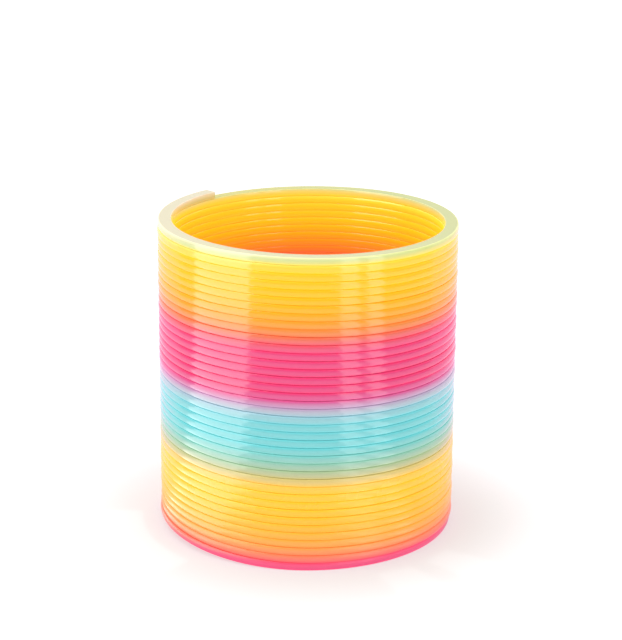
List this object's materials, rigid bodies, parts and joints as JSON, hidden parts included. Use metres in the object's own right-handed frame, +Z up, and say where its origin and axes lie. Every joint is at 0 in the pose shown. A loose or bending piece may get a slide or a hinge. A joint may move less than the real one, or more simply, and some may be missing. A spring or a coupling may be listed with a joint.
{
  "type": "spring coil toy",
  "caption": "Tall closed coil of flat rounded plastic strip in graded rainbow colours, which stretches, leans and arches over between its two closed ends.",
  "frame": {"origin": "centre of the coil, on the plane that its foot rests on", "axes": "+Z up the coil's axis; +X to the right and -Y to the front, with the upper free end at the back left"},
  "size_m": [0.085, 0.085, 0.09],
  "materials": {
    "coral_strip": "translucent coral to pink",
    "gold_strip": "translucent golden yellow",
    "green_strip": "translucent grey-green",
    "blue_strip": "translucent pale cyan",
    "lilac_strip": "translucent lilac",
    "pink_strip": "translucent rose pink",
    "orange_strip": "translucent orange",
    "yellow_strip": "translucent lemon yellow"
  },
  "bodies": {
    "bottom_coils": {"bottom_coils": "coral_strip"},
    "turn_07_front": {"turn_07_front": "gold_strip"},
    "turn_07_back": {"turn_07_back": "gold_strip"},
    "turn_08_front": {"turn_08_front": "gold_strip"},
    "turn_08_back": {"turn_08_back": "gold_strip"},
    "turn_09_front": {"turn_09_front": "gold_strip"},
    "turn_09_back": {"turn_09_back": "gold_strip"},
    "turn_10_front": {"turn_10_front": "gold_strip"},
    "turn_10_back": {"turn_10_back": "gold_strip"},
    "turn_11_front": {"turn_11_front": "gold_strip"},
    "turn_11_back": {"turn_11_back": "green_strip"},
    "turn_12_front": {"turn_12_front": "green_strip"},
    "turn_12_back": {"turn_12_back": "green_strip"},
    "turn_13_front": {"turn_13_front": "green_strip"},
    "turn_13_back": {"turn_13_back": "green_strip"},
    "turn_14_front": {"turn_14_front": "green_strip"},
    "turn_14_back": {"turn_14_back": "blue_strip"},
    "turn_15_front": {"turn_15_front": "blue_strip"},
    "turn_15_back": {"turn_15_back": "blue_strip"},
    "turn_16_front": {"turn_16_front": "blue_strip"},
    "turn_16_back": {"turn_16_back": "blue_strip"},
    "turn_17_front": {"turn_17_front": "blue_strip"},
    "turn_17_back": {"turn_17_back": "blue_strip"},
    "turn_18_front": {"turn_18_front": "blue_strip"},
    "turn_18_back": {"turn_18_back": "blue_strip"},
    "turn_19_front": {"turn_19_front": "blue_strip"},
    "turn_19_back": {"turn_19_back": "blue_strip"},
    "turn_20_front": {"turn_20_front": "blue_strip"},
    "turn_20_back": {"turn_20_back": "blue_strip"},
    "turn_21_front": {"turn_21_front": "lilac_strip"},
    "turn_21_back": {"turn_21_back": "lilac_strip"},
    "turn_22_front": {"turn_22_front": "lilac_strip"},
    "turn_22_back": {"turn_22_back": "lilac_strip"},
    "turn_23_front": {"turn_23_front": "pink_strip"},
    "turn_23_back": {"turn_23_back": "pink_strip"},
    "turn_24_front": {"turn_24_front": "pink_strip"},
    "turn_24_back": {"turn_24_back": "pink_strip"},
    "turn_25_front": {"turn_25_front": "pink_strip"},
    "turn_25_back": {"turn_25_back": "pink_strip"},
    "turn_26_front": {"turn_26_front": "pink_strip"},
    "turn_26_back": {"turn_26_back": "pink_strip"},
    "turn_27_front": {"turn_27_front": "pink_strip"},
    "turn_27_back": {"turn_27_back": "pink_strip"},
    "turn_28_front": {"turn_28_front": "pink_strip"},
    "turn_28_back": {"turn_28_back": "pink_strip"},
    "turn_29_front": {"turn_29_front": "pink_strip"},
    "turn_29_back": {"turn_29_back": "pink_strip"},
    "turn_30_front": {"turn_30_front": "orange_strip"},
    "turn_30_back": {"turn_30_back": "orange_strip"},
    "turn_31_front": {"turn_31_front": "orange_strip"},
    "turn_31_back": {"turn_31_back": "orange_strip"},
    "turn_32_front": {"turn_32_front": "orange_strip"},
    "turn_32_back": {"turn_32_back": "orange_strip"},
    "turn_33_front": {"turn_33_front": "yellow_strip"},
    "turn_33_back": {"turn_33_back": "yellow_strip"},
    "turn_34_front": {"turn_34_front": "yellow_strip"},
    "turn_34_back": {"turn_34_back": "yellow_strip"},
    "top_coils": {"top_coils": "yellow_strip"}
  },
  "joints": [
    {"name": "right_flex_07", "type": "hinge", "parent": "bottom_coils", "child": "turn_07_front", "pos_m": [0.0419, 0, 0.01531], "axis": [0, 1, 0], "range_deg": [0, 3.21], "stiffness_Nm_per_rad": 0.04},
    {"name": "left_flex_07", "type": "hinge", "parent": "turn_07_front", "child": "turn_07_back", "pos_m": [-0.0419, 0, 0.0164], "axis": [0, -1, 0], "range_deg": [0, 6.43], "stiffness_Nm_per_rad": 0.04},
    {"name": "right_flex_08", "type": "hinge", "parent": "turn_07_back", "child": "turn_08_front", "pos_m": [0.0419, 0, 0.0175], "axis": [0, 1, 0], "range_deg": [0, 6.43], "stiffness_Nm_per_rad": 0.04},
    {"name": "left_flex_08", "type": "hinge", "parent": "turn_08_front", "child": "turn_08_back", "pos_m": [-0.0419, 0, 0.0186], "axis": [0, -1, 0], "range_deg": [0, 6.43], "stiffness_Nm_per_rad": 0.04},
    {"name": "right_flex_09", "type": "hinge", "parent": "turn_08_back", "child": "turn_09_front", "pos_m": [0.0419, 0, 0.01969], "axis": [0, 1, 0], "range_deg": [0, 6.43], "stiffness_Nm_per_rad": 0.04},
    {"name": "left_flex_09", "type": "hinge", "parent": "turn_09_front", "child": "turn_09_back", "pos_m": [-0.0419, 0, 0.02079], "axis": [0, -1, 0], "range_deg": [0, 6.43], "stiffness_Nm_per_rad": 0.04},
    {"name": "right_flex_10", "type": "hinge", "parent": "turn_09_back", "child": "turn_10_front", "pos_m": [0.0419, 0, 0.02189], "axis": [0, 1, 0], "range_deg": [0, 6.43], "stiffness_Nm_per_rad": 0.04},
    {"name": "left_flex_10", "type": "hinge", "parent": "turn_10_front", "child": "turn_10_back", "pos_m": [-0.0419, 0, 0.02298], "axis": [0, -1, 0], "range_deg": [0, 6.43], "stiffness_Nm_per_rad": 0.04},
    {"name": "right_flex_11", "type": "hinge", "parent": "turn_10_back", "child": "turn_11_front", "pos_m": [0.0419, 0, 0.02408], "axis": [0, 1, 0], "range_deg": [0, 6.43], "stiffness_Nm_per_rad": 0.04},
    {"name": "left_flex_11", "type": "hinge", "parent": "turn_11_front", "child": "turn_11_back", "pos_m": [-0.0419, 0, 0.02518], "axis": [0, -1, 0], "range_deg": [0, 6.43], "stiffness_Nm_per_rad": 0.04},
    {"name": "right_flex_12", "type": "hinge", "parent": "turn_11_back", "child": "turn_12_front", "pos_m": [0.0419, 0, 0.02627], "axis": [0, 1, 0], "range_deg": [0, 6.43], "stiffness_Nm_per_rad": 0.04},
    {"name": "left_flex_12", "type": "hinge", "parent": "turn_12_front", "child": "turn_12_back", "pos_m": [-0.0419, 0, 0.02737], "axis": [0, -1, 0], "range_deg": [0, 6.43], "stiffness_Nm_per_rad": 0.04},
    {"name": "right_flex_13", "type": "hinge", "parent": "turn_12_back", "child": "turn_13_front", "pos_m": [0.0419, 0, 0.02847], "axis": [0, 1, 0], "range_deg": [0, 6.43], "stiffness_Nm_per_rad": 0.04},
    {"name": "left_flex_13", "type": "hinge", "parent": "turn_13_front", "child": "turn_13_back", "pos_m": [-0.0419, 0, 0.02956], "axis": [0, -1, 0], "range_deg": [0, 6.43], "stiffness_Nm_per_rad": 0.04},
    {"name": "right_flex_14", "type": "hinge", "parent": "turn_13_back", "child": "turn_14_front", "pos_m": [0.0419, 0, 0.03066], "axis": [0, 1, 0], "range_deg": [0, 6.43], "stiffness_Nm_per_rad": 0.04},
    {"name": "left_flex_14", "type": "hinge", "parent": "turn_14_front", "child": "turn_14_back", "pos_m": [-0.0419, 0, 0.03176], "axis": [0, -1, 0], "range_deg": [0, 6.43], "stiffness_Nm_per_rad": 0.04},
    {"name": "right_flex_15", "type": "hinge", "parent": "turn_14_back", "child": "turn_15_front", "pos_m": [0.0419, 0, 0.03286], "axis": [0, 1, 0], "range_deg": [0, 6.43], "stiffness_Nm_per_rad": 0.04},
    {"name": "left_flex_15", "type": "hinge", "parent": "turn_15_front", "child": "turn_15_back", "pos_m": [-0.0419, 0, 0.03395], "axis": [0, -1, 0], "range_deg": [0, 6.43], "stiffness_Nm_per_rad": 0.04},
    {"name": "right_flex_16", "type": "hinge", "parent": "turn_15_back", "child": "turn_16_front", "pos_m": [0.0419, 0, 0.03505], "axis": [0, 1, 0], "range_deg": [0, 6.43], "stiffness_Nm_per_rad": 0.04},
    {"name": "left_flex_16", "type": "hinge", "parent": "turn_16_front", "child": "turn_16_back", "pos_m": [-0.0419, 0, 0.03614], "axis": [0, -1, 0], "range_deg": [0, 6.43], "stiffness_Nm_per_rad": 0.04},
    {"name": "right_flex_17", "type": "hinge", "parent": "turn_16_back", "child": "turn_17_front", "pos_m": [0.0419, 0, 0.03724], "axis": [0, 1, 0], "range_deg": [0, 6.43], "stiffness_Nm_per_rad": 0.04},
    {"name": "left_flex_17", "type": "hinge", "parent": "turn_17_front", "child": "turn_17_back", "pos_m": [-0.0419, 0, 0.03834], "axis": [0, -1, 0], "range_deg": [0, 6.43], "stiffness_Nm_per_rad": 0.04},
    {"name": "right_flex_18", "type": "hinge", "parent": "turn_17_back", "child": "turn_18_front", "pos_m": [0.0419, 0, 0.03944], "axis": [0, 1, 0], "range_deg": [0, 6.43], "stiffness_Nm_per_rad": 0.04},
    {"name": "left_flex_18", "type": "hinge", "parent": "turn_18_front", "child": "turn_18_back", "pos_m": [-0.0419, 0, 0.04053], "axis": [0, -1, 0], "range_deg": [0, 6.43], "stiffness_Nm_per_rad": 0.04},
    {"name": "right_flex_19", "type": "hinge", "parent": "turn_18_back", "child": "turn_19_front", "pos_m": [0.0419, 0, 0.04163], "axis": [0, 1, 0], "range_deg": [0, 6.43], "stiffness_Nm_per_rad": 0.04},
    {"name": "left_flex_19", "type": "hinge", "parent": "turn_19_front", "child": "turn_19_back", "pos_m": [-0.0419, 0, 0.04273], "axis": [0, -1, 0], "range_deg": [0, 6.43], "stiffness_Nm_per_rad": 0.04},
    {"name": "right_flex_20", "type": "hinge", "parent": "turn_19_back", "child": "turn_20_front", "pos_m": [0.0419, 0, 0.04382], "axis": [0, 1, 0], "range_deg": [0, 6.43], "stiffness_Nm_per_rad": 0.04},
    {"name": "left_flex_20", "type": "hinge", "parent": "turn_20_front", "child": "turn_20_back", "pos_m": [-0.0419, 0, 0.04492], "axis": [0, -1, 0], "range_deg": [0, 6.43], "stiffness_Nm_per_rad": 0.04},
    {"name": "right_flex_21", "type": "hinge", "parent": "turn_20_back", "child": "turn_21_front", "pos_m": [0.0419, 0, 0.04602], "axis": [0, 1, 0], "range_deg": [0, 6.43], "stiffness_Nm_per_rad": 0.04},
    {"name": "left_flex_21", "type": "hinge", "parent": "turn_21_front", "child": "turn_21_back", "pos_m": [-0.0419, 0, 0.04711], "axis": [0, -1, 0], "range_deg": [0, 6.43], "stiffness_Nm_per_rad": 0.04},
    {"name": "right_flex_22", "type": "hinge", "parent": "turn_21_back", "child": "turn_22_front", "pos_m": [0.0419, 0, 0.04821], "axis": [0, 1, 0], "range_deg": [0, 6.43], "stiffness_Nm_per_rad": 0.04},
    {"name": "left_flex_22", "type": "hinge", "parent": "turn_22_front", "child": "turn_22_back", "pos_m": [-0.0419, 0, 0.04931], "axis": [0, -1, 0], "range_deg": [0, 6.43], "stiffness_Nm_per_rad": 0.04},
    {"name": "right_flex_23", "type": "hinge", "parent": "turn_22_back", "child": "turn_23_front", "pos_m": [0.0419, 0, 0.0504], "axis": [0, 1, 0], "range_deg": [0, 6.43], "stiffness_Nm_per_rad": 0.04},
    {"name": "left_flex_23", "type": "hinge", "parent": "turn_23_front", "child": "turn_23_back", "pos_m": [-0.0419, 0, 0.0515], "axis": [0, -1, 0], "range_deg": [0, 6.43], "stiffness_Nm_per_rad": 0.04},
    {"name": "right_flex_24", "type": "hinge", "parent": "turn_23_back", "child": "turn_24_front", "pos_m": [0.0419, 0, 0.0526], "axis": [0, 1, 0], "range_deg": [0, 6.43], "stiffness_Nm_per_rad": 0.04},
    {"name": "left_flex_24", "type": "hinge", "parent": "turn_24_front", "child": "turn_24_back", "pos_m": [-0.0419, 0, 0.05369], "axis": [0, -1, 0], "range_deg": [0, 6.43], "stiffness_Nm_per_rad": 0.04},
    {"name": "right_flex_25", "type": "hinge", "parent": "turn_24_back", "child": "turn_25_front", "pos_m": [0.0419, 0, 0.05479], "axis": [0, 1, 0], "range_deg": [0, 6.43], "stiffness_Nm_per_rad": 0.04},
    {"name": "left_flex_25", "type": "hinge", "parent": "turn_25_front", "child": "turn_25_back", "pos_m": [-0.0419, 0, 0.05589], "axis": [0, -1, 0], "range_deg": [0, 6.43], "stiffness_Nm_per_rad": 0.04},
    {"name": "right_flex_26", "type": "hinge", "parent": "turn_25_back", "child": "turn_26_front", "pos_m": [0.0419, 0, 0.05699], "axis": [0, 1, 0], "range_deg": [0, 6.43], "stiffness_Nm_per_rad": 0.04},
    {"name": "left_flex_26", "type": "hinge", "parent": "turn_26_front", "child": "turn_26_back", "pos_m": [-0.0419, 0, 0.05808], "axis": [0, -1, 0], "range_deg": [0, 6.43], "stiffness_Nm_per_rad": 0.04},
    {"name": "right_flex_27", "type": "hinge", "parent": "turn_26_back", "child": "turn_27_front", "pos_m": [0.0419, 0, 0.05918], "axis": [0, 1, 0], "range_deg": [0, 6.43], "stiffness_Nm_per_rad": 0.04},
    {"name": "left_flex_27", "type": "hinge", "parent": "turn_27_front", "child": "turn_27_back", "pos_m": [-0.0419, 0, 0.06028], "axis": [0, -1, 0], "range_deg": [0, 6.43], "stiffness_Nm_per_rad": 0.04},
    {"name": "right_flex_28", "type": "hinge", "parent": "turn_27_back", "child": "turn_28_front", "pos_m": [0.0419, 0, 0.06137], "axis": [0, 1, 0], "range_deg": [0, 6.43], "stiffness_Nm_per_rad": 0.04},
    {"name": "left_flex_28", "type": "hinge", "parent": "turn_28_front", "child": "turn_28_back", "pos_m": [-0.0419, 0, 0.06247], "axis": [0, -1, 0], "range_deg": [0, 6.43], "stiffness_Nm_per_rad": 0.04},
    {"name": "right_flex_29", "type": "hinge", "parent": "turn_28_back", "child": "turn_29_front", "pos_m": [0.0419, 0, 0.06357], "axis": [0, 1, 0], "range_deg": [0, 6.43], "stiffness_Nm_per_rad": 0.04},
    {"name": "left_flex_29", "type": "hinge", "parent": "turn_29_front", "child": "turn_29_back", "pos_m": [-0.0419, 0, 0.06466], "axis": [0, -1, 0], "range_deg": [0, 6.43], "stiffness_Nm_per_rad": 0.04},
    {"name": "right_flex_30", "type": "hinge", "parent": "turn_29_back", "child": "turn_30_front", "pos_m": [0.0419, 0, 0.06576], "axis": [0, 1, 0], "range_deg": [0, 6.43], "stiffness_Nm_per_rad": 0.04},
    {"name": "left_flex_30", "type": "hinge", "parent": "turn_30_front", "child": "turn_30_back", "pos_m": [-0.0419, 0, 0.06686], "axis": [0, -1, 0], "range_deg": [0, 6.43], "stiffness_Nm_per_rad": 0.04},
    {"name": "right_flex_31", "type": "hinge", "parent": "turn_30_back", "child": "turn_31_front", "pos_m": [0.0419, 0, 0.06795], "axis": [0, 1, 0], "range_deg": [0, 6.43], "stiffness_Nm_per_rad": 0.04},
    {"name": "left_flex_31", "type": "hinge", "parent": "turn_31_front", "child": "turn_31_back", "pos_m": [-0.0419, 0, 0.06905], "axis": [0, -1, 0], "range_deg": [0, 6.43], "stiffness_Nm_per_rad": 0.04},
    {"name": "right_flex_32", "type": "hinge", "parent": "turn_31_back", "child": "turn_32_front", "pos_m": [0.0419, 0, 0.07015], "axis": [0, 1, 0], "range_deg": [0, 6.43], "stiffness_Nm_per_rad": 0.04},
    {"name": "left_flex_32", "type": "hinge", "parent": "turn_32_front", "child": "turn_32_back", "pos_m": [-0.0419, 0, 0.07124], "axis": [0, -1, 0], "range_deg": [0, 6.43], "stiffness_Nm_per_rad": 0.04},
    {"name": "right_flex_33", "type": "hinge", "parent": "turn_32_back", "child": "turn_33_front", "pos_m": [0.0419, 0, 0.07234], "axis": [0, 1, 0], "range_deg": [0, 6.43], "stiffness_Nm_per_rad": 0.04},
    {"name": "left_flex_33", "type": "hinge", "parent": "turn_33_front", "child": "turn_33_back", "pos_m": [-0.0419, 0, 0.07344], "axis": [0, -1, 0], "range_deg": [0, 6.43], "stiffness_Nm_per_rad": 0.04},
    {"name": "right_flex_34", "type": "hinge", "parent": "turn_33_back", "child": "turn_34_front", "pos_m": [0.0419, 0, 0.07453], "axis": [0, 1, 0], "range_deg": [0, 6.43], "stiffness_Nm_per_rad": 0.04},
    {"name": "left_flex_34", "type": "hinge", "parent": "turn_34_front", "child": "turn_34_back", "pos_m": [-0.0419, 0, 0.07563], "axis": [0, -1, 0], "range_deg": [0, 6.43], "stiffness_Nm_per_rad": 0.04},
    {"name": "right_flex_35", "type": "hinge", "parent": "turn_34_back", "child": "top_coils", "pos_m": [0.0419, 0, 0.07673], "axis": [0, 1, 0], "range_deg": [0, 3.21], "stiffness_Nm_per_rad": 0.04}
  ],
  "couplings": [
    {"joint": "right_flex_07", "follows": "right_flex_08", "ratio": 0.5},
    {"joint": "right_flex_09", "follows": "right_flex_08", "ratio": 1},
    {"joint": "right_flex_10", "follows": "right_flex_08", "ratio": 1},
    {"joint": "right_flex_11", "follows": "right_flex_08", "ratio": 1},
    {"joint": "right_flex_12", "follows": "right_flex_08", "ratio": 1},
    {"joint": "right_flex_13", "follows": "right_flex_08", "ratio": 1},
    {"joint": "right_flex_14", "follows": "right_flex_08", "ratio": 1},
    {"joint": "right_flex_15", "follows": "right_flex_08", "ratio": 1},
    {"joint": "right_flex_16", "follows": "right_flex_08", "ratio": 1},
    {"joint": "right_flex_17", "follows": "right_flex_08", "ratio": 1},
    {"joint": "right_flex_18", "follows": "right_flex_08", "ratio": 1},
    {"joint": "right_flex_19", "follows": "right_flex_08", "ratio": 1},
    {"joint": "right_flex_20", "follows": "right_flex_08", "ratio": 1},
    {"joint": "right_flex_21", "follows": "right_flex_08", "ratio": 1},
    {"joint": "right_flex_22", "follows": "right_flex_08", "ratio": 1},
    {"joint": "right_flex_23", "follows": "right_flex_08", "ratio": 1},
    {"joint": "right_flex_24", "follows": "right_flex_08", "ratio": 1},
    {"joint": "right_flex_25", "follows": "right_flex_08", "ratio": 1},
    {"joint": "right_flex_26", "follows": "right_flex_08", "ratio": 1},
    {"joint": "right_flex_27", "follows": "right_flex_08", "ratio": 1},
    {"joint": "right_flex_28", "follows": "right_flex_08", "ratio": 1},
    {"joint": "right_flex_29", "follows": "right_flex_08", "ratio": 1},
    {"joint": "right_flex_30", "follows": "right_flex_08", "ratio": 1},
    {"joint": "right_flex_31", "follows": "right_flex_08", "ratio": 1},
    {"joint": "right_flex_32", "follows": "right_flex_08", "ratio": 1},
    {"joint": "right_flex_33", "follows": "right_flex_08", "ratio": 1},
    {"joint": "right_flex_34", "follows": "right_flex_08", "ratio": 1},
    {"joint": "right_flex_35", "follows": "right_flex_08", "ratio": 0.5},
    {"joint": "left_flex_08", "follows": "left_flex_07", "ratio": 1},
    {"joint": "left_flex_09", "follows": "left_flex_07", "ratio": 1},
    {"joint": "left_flex_10", "follows": "left_flex_07", "ratio": 1},
    {"joint": "left_flex_11", "follows": "left_flex_07", "ratio": 1},
    {"joint": "left_flex_12", "follows": "left_flex_07", "ratio": 1},
    {"joint": "left_flex_13", "follows": "left_flex_07", "ratio": 1},
    {"joint": "left_flex_14", "follows": "left_flex_07", "ratio": 1},
    {"joint": "left_flex_15", "follows": "left_flex_07", "ratio": 1},
    {"joint": "left_flex_16", "follows": "left_flex_07", "ratio": 1},
    {"joint": "left_flex_17", "follows": "left_flex_07", "ratio": 1},
    {"joint": "left_flex_18", "follows": "left_flex_07", "ratio": 1},
    {"joint": "left_flex_19", "follows": "left_flex_07", "ratio": 1},
    {"joint": "left_flex_20", "follows": "left_flex_07", "ratio": 1},
    {"joint": "left_flex_21", "follows": "left_flex_07", "ratio": 1},
    {"joint": "left_flex_22", "follows": "left_flex_07", "ratio": 1},
    {"joint": "left_flex_23", "follows": "left_flex_07", "ratio": 1},
    {"joint": "left_flex_24", "follows": "left_flex_07", "ratio": 1},
    {"joint": "left_flex_25", "follows": "left_flex_07", "ratio": 1},
    {"joint": "left_flex_26", "follows": "left_flex_07", "ratio": 1},
    {"joint": "left_flex_27", "follows": "left_flex_07", "ratio": 1},
    {"joint": "left_flex_28", "follows": "left_flex_07", "ratio": 1},
    {"joint": "left_flex_29", "follows": "left_flex_07", "ratio": 1},
    {"joint": "left_flex_30", "follows": "left_flex_07", "ratio": 1},
    {"joint": "left_flex_31", "follows": "left_flex_07", "ratio": 1},
    {"joint": "left_flex_32", "follows": "left_flex_07", "ratio": 1},
    {"joint": "left_flex_33", "follows": "left_flex_07", "ratio": 1},
    {"joint": "left_flex_34", "follows": "left_flex_07", "ratio": 1}
  ]
}
